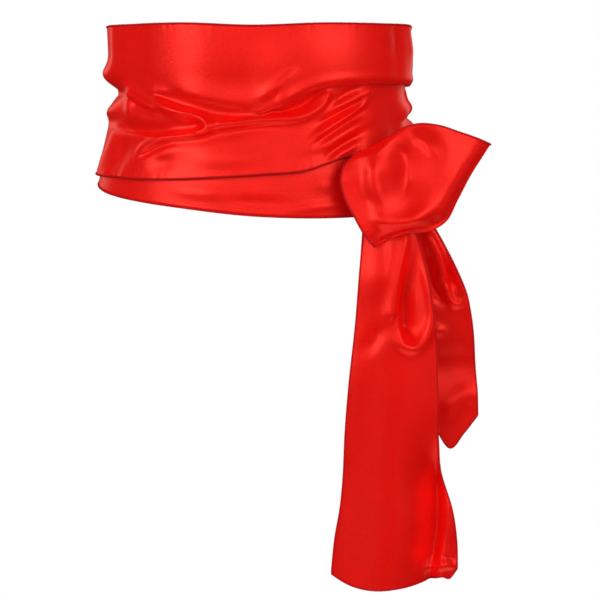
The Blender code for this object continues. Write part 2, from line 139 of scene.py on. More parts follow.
def stroke_relief(stroke, across, up, scale):
    """How much one stroke raises the cloth at places across and up, in millimetres."""
    places = np.array(stroke.places, float) * (scale, 1)
    stops = np.linspace(0, 1, len(places))
    t = np.linspace(0, 1, STROKE_PIECES + 1)
    path = smooth_curve(np.column_stack([stops, places]), t)
    step = np.diff(path, axis=0)
    length = np.linalg.norm(step, axis=1) + TINY
    relief = np.zeros(across.shape)
    reach = STROKE_REACH * max(stroke.left, stroke.right)
    low, high = path.min(axis=0) - reach, path.max(axis=0) + reach
    near = (across > low[0]) & (across < high[0]) & (up > low[1]) & (up < high[1])
    if not near.any():
        return relief
    aside = across[near][:, None] - path[:-1, 0]
    above = up[near][:, None] - path[:-1, 1]
    share = np.clip((aside * step[:, 0] + above * step[:, 1]) / length**2, 0, 1)
    reached = (np.arange(STROKE_PIECES) + share) / STROKE_PIECES
    strength = np.ones(reached.shape)
    if stroke.fade_in:
        strength = smooth_step(reached, 0, stroke.fade_in)
    if stroke.fade_out:
        strength = strength * smooth_step(1 - reached, 0, stroke.fade_out)
    aside, above = aside - share * step[:, 0], above - share * step[:, 1]
    distance = np.hypot(aside, above)
    turn = (step[:, 0] * above - step[:, 1] * aside) / length
    side = smooth_step(turn / (distance + TINY), -SIDE_BLEND, SIDE_BLEND)
    width = stroke.right + (stroke.left - stroke.right) * side
    relief[near] = (strength * np.exp(-((distance / width) ** 2))).max(axis=1)
    return stroke.rise * relief


def relief_of(strokes, across, up, scale=1.0, turns=(0,)):
    """All the strokes' relief together. Turns repeats them round a closed band."""
    relief = np.zeros(across.shape)
    for stroke in strokes:
        for turn in turns:
            relief += stroke_relief(stroke, across + turn, up, scale)
    return relief


# %% [markdown]
# ## Satin and thread
#
# Satin has long floats of smooth thread on its face, so it gives a broad soft sheen with fine lines
# in one direction. Some of that sheen has the cloth's own colour and some is paler, so the shader
# is about two fifths metallic and its other reflections are tinted. A picture of the weave would
# blur or repeat. Noise on the sheet's own UV map, which is in metres, gives threads of the right
# size that follow the cloth through every fold.

# %% A sketch pad for shader nodes
class Wire:
    """A socket that can be used in sums, each of which adds its Math node."""

    def __init__(self, pad, socket):
        self.pad, self.socket = pad, socket

    def maths(self, operation, *values):
        return self.pad.node("ShaderNodeMath", {"operation": operation}, *values)

    def __add__(self, other):
        return self.maths("ADD", self, other)

    def __mul__(self, other):
        return self.maths("MULTIPLY", self, other)

    def __truediv__(self, other):
        return self.maths("DIVIDE", self, other)

    def __rtruediv__(self, other):
        return self.maths("DIVIDE", other, self)

    __radd__ = __add__
    __rmul__ = __mul__

    def sine(self):
        return self.maths("SINE", self)


class Pad:
    """A material's node tree: node() adds one node and gives back its output as a Wire."""

    def __init__(self, name):
        self.material = bpy.data.materials.new(name)
        self.material.use_nodes = True
        self.nodes = self.material.node_tree.nodes
        self.links = self.material.node_tree.links
        self.shader = self.nodes["Principled BSDF"]

    def node(self, kind, settings, *values, output=0):
        node = self.nodes.new(kind)
        for setting, value in settings.items():
            setattr(node, setting, value)
        for socket, value in zip(node.inputs, values):
            self.join(value, socket)
        return Wire(self, node.outputs[output])

    def join(self, value, socket):
        if isinstance(value, Wire):
            self.links.new(value.socket, socket)
        elif value is not None:
            socket.default_value = value

    def give(self, **values):
        """Set or join the shader's own sockets."""
        for title, value in values.items():
            self.join(value, self.shader.inputs[title.replace("_", " ")])

    def shades(self, share, colour, spread):
        """The colour, darker or lighter by up to spread as share goes from 0 to 1."""
        dark, light = (
            tuple(channel * factor for channel in colour) + (1.0,)
            for factor in (1 - spread, 1 + spread))
        unused = [None] * 5
        return self.node(
            "ShaderNodeMix", {"data_type": "RGBA"}, share, *unused, dark, light, output=2)


# %% Satin
SATIN_RED = (0.80, 0.0028, 0.0018)
SATIN_RED_SPREAD = 0.24
SATIN_METALLIC = 0.42
SATIN_SPECULAR = 0.56
SATIN_ROUGHNESS = 0.25
SHEEN_TINT = (1.0, 0.85, 0.62, 1.0)
BUMP_STRENGTH = 0.5
BUMP_DEPTH = 0.3 * MM
FLOAT_PITCH = 0.45 * MM
FLOAT_LENGTH = 5.0 * MM
FLOATS_BEND_THREADS = 3.0
Noise = namedtuple("Noise", "scale detail roughness")
FLOAT_NOISE = Noise(1.0, 2.0, 0.6)
DYE_NOISE = Noise(42.0, 3.0, 0.55)
GRAIN_NOISE = Noise(620.0, 2.0, 0.6)


def satin_material(name):
    pad = Pad(name)
    pad.give(Metallic=SATIN_METALLIC, Specular_IOR_Level=SATIN_SPECULAR, Specular_Tint=SHEEN_TINT)
    flat = {"noise_dimensions": "2D"}
    cloth = pad.node("ShaderNodeUVMap", {"uv_map": "Cloth"})
    along = pad.node("ShaderNodeSeparateXYZ", {}, cloth, output=0)
    across = pad.node("ShaderNodeSeparateXYZ", {}, cloth, output=1)
    # Long floats: noise drawn out along the rows of the sheet's grid
    drawn = pad.node("ShaderNodeCombineXYZ", {}, along / FLOAT_LENGTH, across / FLOAT_PITCH, 0.0)
    floats = pad.node("ShaderNodeTexNoise", flat, drawn, None, *FLOAT_NOISE)
    threads = (across * (2 * math.pi / FLOAT_PITCH) + floats * FLOATS_BEND_THREADS).sine()
    # Broad, faint unevenness of the dye
    dye = pad.node("ShaderNodeTexNoise", flat, cloth, None, *DYE_NOISE)
    # Fine grain where threads catch the light one by one
    grain = pad.node("ShaderNodeTexNoise", flat, cloth, None, *GRAIN_NOISE)
    # The numbers below are each one's share in the colour, the gloss and the relief
    tone = floats * 0.25 + dye * 0.3 + grain * 0.45
    pad.give(Base_Color=pad.shades(tone, SATIN_RED, SATIN_RED_SPREAD))
    pad.give(Roughness=SATIN_ROUGHNESS + floats * 0.06 + grain * 0.08)
    height = threads * 0.03 + floats * 0.07 + grain * 0.9
    bump = pad.node("ShaderNodeBump", {}, BUMP_STRENGTH, BUMP_DEPTH)
    pad.join(height, bump.socket.node.inputs["Height"])
    pad.give(Normal=bump)
    return pad.material


# %% Hem thread
THREAD_RED = (0.36, 0.003, 0.005)
THREAD_RED_SPREAD = 0.2
THREAD_SPECULAR = 0.1
THREAD_ROUGHNESS = 0.7
FIBRE_NOISE = Noise(2600.0, 2.0, 0.5)


def thread_material():
    pad = Pad("hem_thread")
    pad.give(Specular_IOR_Level=THREAD_SPECULAR, Roughness=THREAD_ROUGHNESS)
    place = pad.node("ShaderNodeTexCoord", {}, output=3)
    fibres = pad.node("ShaderNodeTexNoise", {}, place, None, *FIBRE_NOISE)
    pad.give(Base_Color=pad.shades(fibres, THREAD_RED, THREAD_RED_SPREAD))
    return pad.material


hem_thread = thread_material()
print("thread material,", len(hem_thread.node_tree.nodes), "nodes")

# %% [markdown]
# ## A sheet of cloth
#
# Every stretch of the strip is a grid of points in rows and columns. The grid becomes quads with a
# UV map in metres, measured on the cloth, and Solidify gives the sheet its wall. The real satin is
# 0.2 mm thick. At 0.7 mm the sheet still looks thin and its two faces stay apart.

# %% From a grid of points to a sheet
WALL = 0.7


def lengths_along(points, axis):
    """How far each line of the grid is from the first, measured on the cloth."""
    steps = np.linalg.norm(np.diff(points, axis=axis), axis=-1)
    return np.concatenate([[0], np.cumsum(steps.mean(axis=1 - axis))])


def quad_corners(rows, columns):
    """The four corners of each quad between a grid's points, as rows and columns."""
    row, column = np.meshgrid(np.arange(rows - 1), np.arange(columns - 1), indexing="ij")
    return [(row, column), (row, column + 1), (row + 1, column + 1), (row + 1, column)]


def quad_faces(corners, width):
    """Quads for rows of width points each. The column past the last one is the first again."""
    return np.stack([r * width + c % width for r, c in corners], axis=-1).reshape(-1, 4).tolist()


def sheet_of_cloth(name, node, points, closed=False):
    """A sheet in place of a node. A closed one joins the last column to the first."""
    rows, columns = points.shape[:2]
    along, across = lengths_along(points, 1) * MM, lengths_along(points, 0) * MM
    kept = points[:, :-1] if closed else points
    corners = quad_corners(rows, columns)
    faces = quad_faces(corners, kept.shape[1])
    mesh = bpy.data.meshes.new(name)
    mesh.from_pydata((kept.reshape(-1, 3) * MM).tolist(), [], faces)
    places = np.stack([np.stack([along[c], across[r]], axis=-1) for r, c in corners], axis=2)
    mesh.uv_layers.new(name="Cloth").data.foreach_set("uv", places.ravel())
    mesh.shade_smooth()
    mesh.materials.append(satin_material(name + "_satin"))
    cloth = put_in_scene(name, mesh)
    wall = cloth.modifiers.new("Wall", "SOLIDIFY")
    wall.thickness = WALL * MM
    wall.offset = 0.0
    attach(cloth, "root")
    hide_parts(node)
    print(name, "sheet,", len(faces), "quads,", round(along[-1], 3), "x", round(across[-1], 3), "m")
    return cloth


# %% [markdown]
# ## The sewn hem
#
# All of the strip's edges are rolled and closed by a tight overlock stitch, which shows as a thin
# dark cord. It follows every edge, so Geometry Nodes make it: the edge becomes a curve, a round
# bead is swept along it, and a small leaning thread ring is set at every stitch. A new edge needs
# no new modelling, only the same tree.

# %% The hem tree
ROUND_SIDES = 8
STRAND_SIDES = 3
LEAN_LEAST = 0.8
LEAN_MOST = 1.2


def hem_tree():
    tree = bpy.data.node_groups.new("Sewn hem", "GeometryNodeTree")
    for title, kind in (
            ("Edge", "Geometry"), ("Bead radius", "Float"), ("Stitch pitch", "Float"),
            ("Thread radius", "Float"), ("Lean", "Float"), ("Seed", "Int"), ("Thread", "Material")):
        tree.interface.new_socket(title, in_out="INPUT", socket_type="NodeSocket" + kind)
    tree.interface.new_socket("Hem", in_out="OUTPUT", socket_type="NodeSocketGeometry")

    def node(kind, inputs, **settings):
        """Add a node, set or join its inputs by title or number, and give back its outputs."""
        new = tree.nodes.new(kind)
        for setting, value in settings.items():
            setattr(new, setting, value)
        for title, value in inputs.items():
            if isinstance(value, bpy.types.NodeSocket):
                tree.links.new(value, new.inputs[title])
            else:
                new.inputs[title].default_value = value
        return new.outputs

    def circle(sides, radius):
        sizes = {"Resolution": sides, "Radius": radius}
        return node("GeometryNodeCurvePrimitiveCircle", sizes)["Curve"]

    def swept(line, profile, capped):
        shape = {"Curve": line, "Profile Curve": profile, "Fill Caps": capped}
        return node("GeometryNodeCurveToMesh", shape)["Mesh"]

    given = node("NodeGroupInput", {})
    bead_radius, thread_radius = given["Bead radius"], given["Thread radius"]
    edge = node("GeometryNodeMeshToCurve", {"Mesh": given["Edge"]})["Curve"]
    # The rolled bead along the edge
    bead = swept(edge, circle(ROUND_SIDES, bead_radius), True)
    smooth = node("GeometryNodeSetShadeSmooth", {"Geometry": bead})
    # One stitch: a ring of thread just outside the bead
    hoop_radius = node("ShaderNodeMath", {0: bead_radius, 1: thread_radius}, operation="ADD")
    hoop = circle(ROUND_SIDES, hoop_radius["Value"])
    stitch = swept(hoop, circle(STRAND_SIDES, thread_radius), False)
    # A leaning stitch at every pitch
    places = node(
        "GeometryNodeCurveToPoints", {"Curve": edge, "Length": given["Stitch pitch"]},
        mode="LENGTH")
    sewn = node(
        "GeometryNodeInstanceOnPoints",
        {"Points": places["Points"], "Instance": stitch, "Rotation": places["Rotation"]})
    uneven = node(
        "FunctionNodeRandomValue", {2: LEAN_LEAST, 3: LEAN_MOST, "Seed": given["Seed"]},
        data_type="FLOAT")
    lean = node("ShaderNodeMath", {0: given["Lean"], 1: uneven[1]}, operation="MULTIPLY")
    tilt = node("ShaderNodeCombineXYZ", {"X": lean["Value"]})
    leaning = node(
        "GeometryNodeRotateInstances",
        {"Instances": sewn["Instances"], "Rotation": tilt["Vector"]})
    both = tree.nodes.new("GeometryNodeJoinGeometry")
    for part in (leaning["Instances"], smooth["Geometry"]):
        tree.links.new(part, both.inputs["Geometry"])
    real = node("GeometryNodeRealizeInstances", {"Geometry": both.outputs["Geometry"]})
    dyed = node(
        "GeometryNodeSetMaterial", {"Geometry": real["Geometry"], "Material": given["Thread"]})
    node("NodeGroupOutput", {"Hem": dyed["Geometry"]})
    return tree


HEM_TREE = hem_tree()
HEM = {
    "Bead radius": 0.8 * MM, "Stitch pitch": 1.8 * MM, "Thread radius": 0.2 * MM,
    "Lean": math.radians(28), "Seed": 7, "Thread": hem_thread}
print("hem tree,", len(HEM_TREE.nodes), "nodes")


# %% Sew a hem along edges
def sewn_hem(name, edges, closed):
    """One piece of hem along one or more lines of points, in millimetres."""
    vertices, joins = [], []
    for points in edges:
        first = len(vertices)
        kept = points[:-1] if closed else points
        vertices.extend((kept * MM).tolist())
        joins.extend((first + i, first + i + 1) for i in range(len(kept) - 1))
        if closed:
            joins.append((first + len(kept) - 1, first))
    path = bpy.data.meshes.new(name + "_path")
    path.from_pydata(vertices, joins, [])
    sewing = put_in_scene(name, path)
    nodes = sewing.modifiers.new("Sewn hem", "NODES")
    nodes.node_group = HEM_TREE
    for item in HEM_TREE.interface.items_tree:
        if item.name in HEM:
            nodes[item.identifier] = HEM[item.name]
    sewn = sewing.evaluated_get(bpy.context.evaluated_depsgraph_get())
    sewing.data = bpy.data.meshes.new_from_object(sewn)
    sewing.modifiers.clear()
    sewing.data.materials.clear()
    sewing.data.materials.append(hem_thread)
    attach(sewing, "root")
    print(name, "piece,", len(sewing.data.polygons), "faces")
    return sewing


def hemmed_sheet(name, node, points, edges, closed=False):
    """A sheet, and the hem along its edges, which close where the sheet does."""
    cloth = sheet_of_cloth(name, node, points, closed)
    return cloth, sewn_hem(name + "_hem", edges, closed)


# %% [markdown]
# ## The waist
#
# The scarf keeps the pose of a worn one, so a place on it is an angle round the waist, 0 at the
# front and 90 at the knot's hip, and a height. The waist is an oval that narrows at the waistline.
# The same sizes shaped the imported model, so the sheets lie where its walls are.

# %% Places on the waist
WAIST_SHIFT = 3.0
MM_PER_DEG = 2.05
Figure = namedtuple("Figure", "height half_width half_depth")
FIGURE = rows_of(
    Figure, (90, 125.0, 92.0), (80, 123.5, 91.0), (50, 120.0, 88.5), (25, 116.5, 86.0),
    (0, 121.0, 89.0), (-20, 127.0, 93.5), (-45, 135.0, 99.5), (-70, 139.0, 103.0),
    (-80, 140.0, 104.0))


def on_waist(deg, height, off):
    """A point that stands off the first turn's middle surface by off."""
    figure = smooth_curve(FIGURE, height)
    half_width, half_depth = figure[..., 0], figure[..., 1]
    sine, cosine = np.sin(np.radians(deg)), np.cos(np.radians(deg))
    normal_x, normal_y = sine / half_width, -cosine / half_depth
    length = np.hypot(normal_x, normal_y)
    x = WAIST_SHIFT + half_width * sine + off * normal_x / length
    y = -half_depth * cosine + off * normal_y / length
    return np.stack([x, y, height + 0 * x], axis=-1)


# %% Columns round the waist, closest at the front
Span = namedtuple("Span", "start_deg end_deg step_deg")
SPANS = rows_of(
    Span, (-180, -110, 2.0), (-110, -62, 1.1), (-62, 64, 0.56), (64, 112, 1.0), (112, 150, 1.3),
    (150, 180, 2.0))


def columns_round(finer=1.0):
    """The angles of a turn's columns. A share below 1 makes fewer of them."""
    angles = [SPANS[0].start_deg]
    for span in SPANS:
        count = round((span.end_deg - span.start_deg) / span.step_deg * finer)
        angles.extend(np.linspace(span.start_deg, span.end_deg, count + 1)[1:])
    return np.array(angles, float)


print(len(columns_round()) - 1, "columns round the waist")

# %% [markdown]
# ## First turn
#
# Most of the first turn is hidden. It shows below the second one as a narrow band with a faint
# slanting fold, and from above as the smooth inside, so it needs few creases.

# %% First turn
INNER_TOP = 72.0
INNER_ROWS = 64
INNER_FINENESS = 0.6
Edge = namedtuple("Edge", "place_deg height")
INNER_HEM = rows_of(
    Edge, (-180, -52), (-90, -51), (-69, -55.5), (-47, -59.5), (-28, -63), (0, -69), (40, -71),
    (90, -62), (135, -55), (180, -52))
INNER_CREASES = rows_of(
    Stroke,
    ("slanting fold", [(6, -67), (21, -62), (36, -60), (48, -62)], 2.5, 3.5, 1.6),
    ("left swell", [(-34, -49), (-20, -51), (-8, -52)], 6, 5, 1.6, 0.4, 0.4),
    ("middle dip", [(-12, -58), (0, -59), (14, -60)], 5, 5, -1.4, 0.4, 0.4),
    ("patch by the knot", [(18, -44), (27, -45), (34, -46)], 6, 6, 1.6),
    ("shade by the knot", [(30, -36), (40, -40), (48, -50)], 6, 6, -2.2, 0.3, 0.2))


def inner_turn_points():
    columns = columns_round(INNER_FINENESS)
    share = np.linspace(0, 1, INNER_ROWS)[:, None]
    heights = INNER_TOP + (smooth_value(INNER_HEM, columns) - INNER_TOP) * share
    degs = np.broadcast_to(columns, heights.shape)
    relief = relief_of(INNER_CREASES, degs * MM_PER_DEG, heights, MM_PER_DEG)
    return on_waist(degs, heights, relief)


inner_points = inner_turn_points()
turn_inner, inner_hem = hemmed_sheet(
    "first_turn", "turn_inner", inner_points, inner_points[[0, -1]], closed=True)

# %% [markdown]
# ## Second turn
#
# This is the face of the scarf. Above, the cloth lies nearly smooth. At the right front it laps
# over its own lower half, and gathers run from the left side, join in a Y and fan into the knot.
# The sheet's columns fold under at the lap and come down again behind it, so the lap is one piece
# with the rest. Each gather is a stroke in degrees and millimetres of height.

# %% Edges and stand-off of the second turn
OUTER_RIM = rows_of(
    Edge, (-180, 80), (-90, 79), (-55, 81), (-25, 82.3), (-2, 80.6), (24, 82.3), (55, 81.5),
    (75, 80.5), (90, 77.5), (110, 79), (180, 80))
OUTER_HEM = rows_of(
    Edge, (-180, -43), (-90, -43), (-56, -42), (-33, -41), (-17, -38.8), (3, -35.7), (17, -33),
    (25, -28), (31, -24), (48, -21), (62, -22), (100, -33), (140, -41), (180, -43))
StandOff = namedtuple("StandOff", "height off")
STAND_OFF = rows_of(
    StandOff, (85, 3.0), (70, 4.5), (45, 6.0), (20, 5.5), (0, 5.5), (-25, 4.0), (-45, 3.4))
LEAST_STAND_OFF = 1.7
STAND_OFF_ROUND = 1.0
UPPER_ROWS = 30
LOWER_ROWS = 72
LAP_TURN_LENGTH = 3.8
LAP_TURN_STEPS = 6
LAP_RUN_STEPS = 3
LIP_ROLL = 1.4
LIP_ROLL_HEIGHT = 5.0
LIP_ROLL_TIGHTNESS = 2
LIP_ROLLS_FROM_DEG = 60
Lap = namedtuple("Lap", "place_deg lip_height run turn_deg")
LAP = rows_of(
    Lap, (-180, 30, 1.0, 0), (-52, 30, 1.0, 0), (-10, 12, 1.0, 0), (-2, 13, 1.0, 20),
    (4, 15, 1.0, 75), (9, 18, 1.0, 140), (14, 23, 1.5, 180), (19, 28, 4.0, 180),
    (25, 31.5, 8.0, 180), (33, 33.5, 9.0, 180), (44, 34.5, 9.0, 180), (70, 32.5, 9.0, 180),
    (90, 30, 9.0, 180), (112, 27.5, 8.0, 180), (120, 26.5, 4.0, 180), (128, 25.5, 1.5, 180),
    (136, 25, 1.0, 130), (144, 24, 1.0, 60), (156, 24, 1.0, 0), (180, 30, 1.0, 0))

# %% Creases at the left front
HAIRPIN = [
    (-43, 26.5), (-41.5, 22.5), (-36.5, 17), (-30, 13.2), (-24, 10.6), (-20, 6.8), (-18, 2),
    (-19.2, -2.4), (-24, -4.8), (-31, -6.4), (-37, -9.8), (-42, -15), (-46, -20.5), (-47.5, -25)]
LEFT_CREASES = rows_of(
    Stroke,
    ("side swell", [(-125, 41), (-100, 39), (-80, 40), (-60, 43)], 9, 9, 7.0, 0.3, 0.35),
    ("side notch", [(-124, 21), (-100, 25), (-76, 25), (-60, 27)], 6, 5, -5.5, 0.3, 0.35),
    ("side ridge", [(-120, 1), (-95, 7), (-75, 11), (-60, 13)], 6, 6, 4.0, 0.3, 0.4),
    ("branch", [(-62, 28), (-57, 25.4), (-49, 20), (-43, 16), (-38, 13)], 3.0, 2.4, 2.8, 0.2),
    ("under the branch", [(-58, 19), (-50, 14.5), (-42, 10)], 3.4, 4, -2.2),
    ("round the hairpin", [(-70, 3), (-48, 3), (-28, 3), (-8, 6)], 24, 22, 4.0, 0.35, 0.45),
    ("hairpin", HAIRPIN, 3.6, 4.4, 4.8, 0.14, 0.14),
    ("in the hairpin", [(-84, -1.5), (-62, -3), (-44, -4.4), (-30, -3.6), (-22, -0.6)],
        11, 2.8, -5.4, 0.3, 0.06),
    ("fold line of the hairpin", [(-70, -3.2), (-44, -4.8), (-30, -4), (-22, -0.8)],
        5, 1.8, -1.4, 0.3, 0.1),
    ("over the hairpin", [(-44, 26), (-39, 22.8), (-34, 20.3), (-27, 16.2), (-19, 13), (-12, 10.4),
        (-5, 9.8), (3, 12)], 7.0, 3.4, -2.2, 0.15, 0.25),
    ("hook", [(-46, 28.5), (-40, 28.5), (-33, 26.5)], 4, 2.6, 2.0, 0.3, 0.4),
    ("below the hairpin", [(-47, -23), (-43, -18.6), (-38, -14), (-32, -10.2), (-26, -8),
        (-19, -6.6), (-12, -3.6), (-4, -0.8), (6, 2), (14, 4)], 3.2, 6.0, -2.8, 0.15),
    ("low hook", [(-52, -25), (-44, -26.5), (-38, -21.5), (-31, -16.5), (-24, -14)],
        3.2, 7, 1.8, 0.3, 0.45),
    ("low patch", [(-40, -27), (-30, -29)], 7, 6, -1.4, 0.4, 0.4),
    ("bulge", [(-40, 36), (-24, 27), (-6, 20), (6, 21)], 12, 5, 3.0, 0.4, 0.4),
    ("pinch", [(0, 22), (5, 23.5), (9, 24)], 4, 2.6, 2.2, 0.4),
    ("lap shoulder", [(13, 29), (10.5, 25), (9, 21.5)], 9, 4, 2.4, 0.5),
    ("upper left swell", [(-58, 27), (-58, 16), (-57, 6)], 7, 7, 1.8, 0.3, 0.4),
    ("lower left swell", [(-68, 1), (-68, -11), (-74, -26), (-78, -40)], 12, 11, 2.4, 0.4),
    ("low left shade", [(-52, -11), (-56, -20), (-60, -32), (-62, -46)], 10, 8, -3.2, 0.4, 0.0),
    ("front swell", [(-28, -22), (-12, -24), (8, -20)], 9, 8, 2.2, 0.4, 0.4))
print(len(LEFT_CREASES), "creases at the left front")

# %% Gathers that run to the knot
GATHERS = rows_of(
    Stroke,
    ("stem", [(-19, 2), (-11, 4), (-4.7, 5.2), (3, 6.8), (9, 7.4), (15, 8.3), (20, 11.5),
        (24.3, 17), (26.8, 23), (28.3, 31)], 3.6, 4.2, 3.4, 0.08, 0.1),
    ("under the lap", [(3, 12.4), (9, 13), (14, 15), (19, 19.5), (23, 26), (25, 30)],
        4.2, 2.6, -4.0, 0.25, 0.0),
    ("beside the stem", [(31, 19), (35, 25), (40, 31)], 3.4, 3.4, -1.4, 0.3, 0.0),
    ("first gather", [(21, 6), (29, 13.3), (33.3, 17.7), (38.6, 21.4), (43, 25), (51, 31)],
        3.8, 3.4, 2.8, 0.35, 0.1),
    ("first valley", [(21, -1), (25, 3.8), (29.6, 8.8), (34.4, 12.8), (38.6, 15.8), (42, 18.4),
        (45, 21.5)], 3.0, 3.0, -2.2, 0.35, 0.2),
    ("second gather", [(18, -14), (20.2, -9.7), (23.7, -4.2), (28.3, 1.4), (33.3, 6.8),
        (38.6, 11.8), (43, 17.2), (47.4, 23.4), (53, 30)], 3.4, 3.4, 3.6, 0.3, 0.25),
    ("second valley", [(19.5, -16), (22, -12), (25.8, -7), (30, -2), (34.4, 2.4), (38.6, 6.8),
        (43, 12), (48, 19)], 3.0, 4.0, -2.4),
    ("third gather", [(14, -19), (19, -16.5), (25, -12), (30, -7), (35.3, -2), (41, 1.6), (48, 5.5),
        (55, 11)], 4.8, 4.4, 2.6, 0.35, 0.4),
    ("third valley", [(24, -25), (26.6, -22), (31.3, -15.8), (37.2, -10.4), (43, -6), (50, -2)],
        3.2, 3.2, -2.2, 0.25, 0.4),
    ("fourth gather", [(26, -28), (28.5, -22.5), (33, -18), (38, -13.5), (45, -9)],
        3.0, 3.2, 2.0, 0.3, 0.4),
    ("shade over the knot", [(58, 26), (61, 12), (62, -2)], 14, 12, -1.6),
    ("hip edge", [(85, 32), (86, 20), (86, 8), (84, -4)], 2.0, 2.0, 2.0, 0.1),
    ("hip edge shade", [(90, 32), (91, 20), (91, 8), (89, -4)], 2.6, 2.6, -2.4, 0.1))
print(len(GATHERS), "gathers")

# %% Creases on the upper panel, the sides and the back
PANEL_WAVES = rows_of(
    Stroke,
    ("left panel dip", [(-52, 30), (-52, 55), (-51, 95)], 16, 14, -2.6, 0.3, 0.0),
    ("left panel edge", [(-70, 38), (-70, 60), (-69, 95)], 10, 10, 1.6, 0.3, 0.0),
    ("front panel swell", [(-24, 34), (-22, 60), (-24, 95)], 24, 24, 1.6, 0.3, 0.0),
    ("right panel dip", [(62, 34), (63, 60), (63, 95)], 9, 9, -2.2, 0.2, 0.0),
    ("right panel edge", [(78, 34), (78, 60), (77, 95)], 9, 9, 1.6, 0.2, 0.0))
SIDE_AND_BACK_CREASES = rows_of(
    Stroke,
    ("hip upper gather", [(64, 3), (78, 10), (100, 16), (128, 21)], 6, 5, 3.6, 0.3, 0.35),
    ("hip upper valley", [(66, -3), (80, 2), (104, 8), (132, 10)], 4, 5, -2.8, 0.3, 0.35),
    ("hip middle gather", [(64, -9), (80, -5), (108, -1), (138, 0)], 5, 6, 4.0, 0.3, 0.35),
    ("hip lower valley", [(66, -14), (82, -14), (106, -14), (130, -12)], 4, 5, -2.8, 0.3, 0.35),
    ("hip lower gather", [(62, -17), (78, -22), (98, -27), (120, -30)], 5, 6, 3.6, 0.3, 0.35),
    ("back upper drape", [(150, 44), (178, 37), (205, 36), (232, 42)], 9, 7, 3.4, 0.35, 0.35),
    ("back upper valley", [(146, 24), (176, 20), (210, 20), (238, 24)], 6, 7, -3.2, 0.35, 0.35),
    ("back middle drape", [(140, 12), (170, 7), (205, 6), (236, 14)], 7, 6, 3.8, 0.35, 0.35),
    ("back lower valley", [(150, -6), (178, -12), (205, -12), (228, -7)], 6, 6, -2.6, 0.35, 0.35),
    ("back lower drape", [(146, -24), (174, -28), (202, -26), (226, -20)], 7, 9, 2.6, 0.35, 0.35),
    ("back thin fold", [(132, -14), (150, -19), (166, -21), (184, -19)], 3, 3, 1.8, 0.35, 0.4),
    ("left thin fold", [(-150, 30), (-128, 31), (-108, 33)], 3, 3, 1.8, 0.35, 0.4))
FREE_CREASES = LEFT_CREASES + PANEL_WAVES + SIDE_AND_BACK_CREASES
print(len(FREE_CREASES) + len(GATHERS), "creases and gathers on the second turn")

# %% How far the second turn stands off
KNOT_DEG = 48.0
KNOT_HEIGHT = -20.0
KNOT_PAD = 7.5
KNOT_PAD_REACH = 21.0
PUCKER_RISE = 0.16
PUCKER_BREADTH = 4.0
Wave = namedtuple("Wave", "share per_mm phase")
QUICK_WAVE = Wave(1.0, 0.9, 0.0)
UNEVEN_WAVE = Wave(1.0, 0.173, 1.0)
LONG_WAVE = Wave(0.6, 0.41, 2.0)
TUCK_DEPTH = 6.0
LAP_PRESSES_FROM_DEG = 30
LAP_PRESSES_BY_DEG = 150


def knot_nearness(deg, height):
    """1 under the knot, where its seat presses the cloth flat, and 0 away from it."""
    across = (deg - KNOT_DEG) * MM_PER_DEG
    reach = np.hypot(across, height - KNOT_HEIGHT) / KNOT_PAD_REACH
    return np.exp(-(reach**4))


def wave_at(wave, along):
    return wave.share * np.sin(along * wave.per_mm + wave.phase)


def pucker(along, from_edge):
    """The small uneven waves that sewing draws into the cloth beside a hem."""
    waves = wave_at(QUICK_WAVE, along) * wave_at(UNEVEN_WAVE, along) + wave_at(LONG_WAVE, along)
    return PUCKER_RISE * waves * np.exp(-np.abs(from_edge) / PUCKER_BREADTH)


def below_lap(deg, height):
    """1 where the gathers lie free, and 0 where the lap presses them flat."""
    lip, _, turn = np.moveaxis(smooth_curve(LAP, deg), -1, 0)
    pressed = smooth_step(turn, LAP_PRESSES_FROM_DEG, LAP_PRESSES_BY_DEG)
    return 1 - pressed * smooth_step(height - lip, -TUCK_DEPTH, 0)


def outer_stand_off(deg, height):
    """How far the second turn stands off the first, with its creases and gathers."""
    across = deg * MM_PER_DEG
    off = smooth_value(STAND_OFF, height)
    off = off + relief_of(FREE_CREASES, across, height, MM_PER_DEG, (0, 360 * MM_PER_DEG))
    off = off + relief_of(GATHERS, across, height, MM_PER_DEG) * below_lap(deg, height)
    near = knot_nearness(deg, height)
    off = off * (1 - near) + KNOT_PAD * near
    over = off - LEAST_STAND_OFF
    return LEAST_STAND_OFF + (over + np.sqrt(over**2 + STAND_OFF_ROUND**2)) / 2


# %% Columns of the second turn, with the lap folded under
def lap_path(lip, run, turn_deg):
    """The lap down one column as (stand-off, height) rows: turn inwards, run on, turn back."""
    angles = np.radians(turn_deg) * (np.arange(LAP_TURN_STEPS) + 0.5) / LAP_TURN_STEPS
    angles = np.concatenate([angles, [np.radians(turn_deg)] * LAP_RUN_STEPS, angles[::-1]])
    lengths = np.full(len(angles), LAP_TURN_LENGTH / LAP_TURN_STEPS)
    lengths[LAP_TURN_STEPS:LAP_TURN_STEPS + LAP_RUN_STEPS] = run / LAP_RUN_STEPS
    inwards = np.concatenate([[0], np.cumsum(np.sin(angles) * lengths)])
    downwards = np.concatenate([[0], np.cumsum(np.cos(angles) * lengths)])
    start = lip + LAP_TURN_LENGTH / math.pi
    return inwards[-1] - inwards, start - downwards


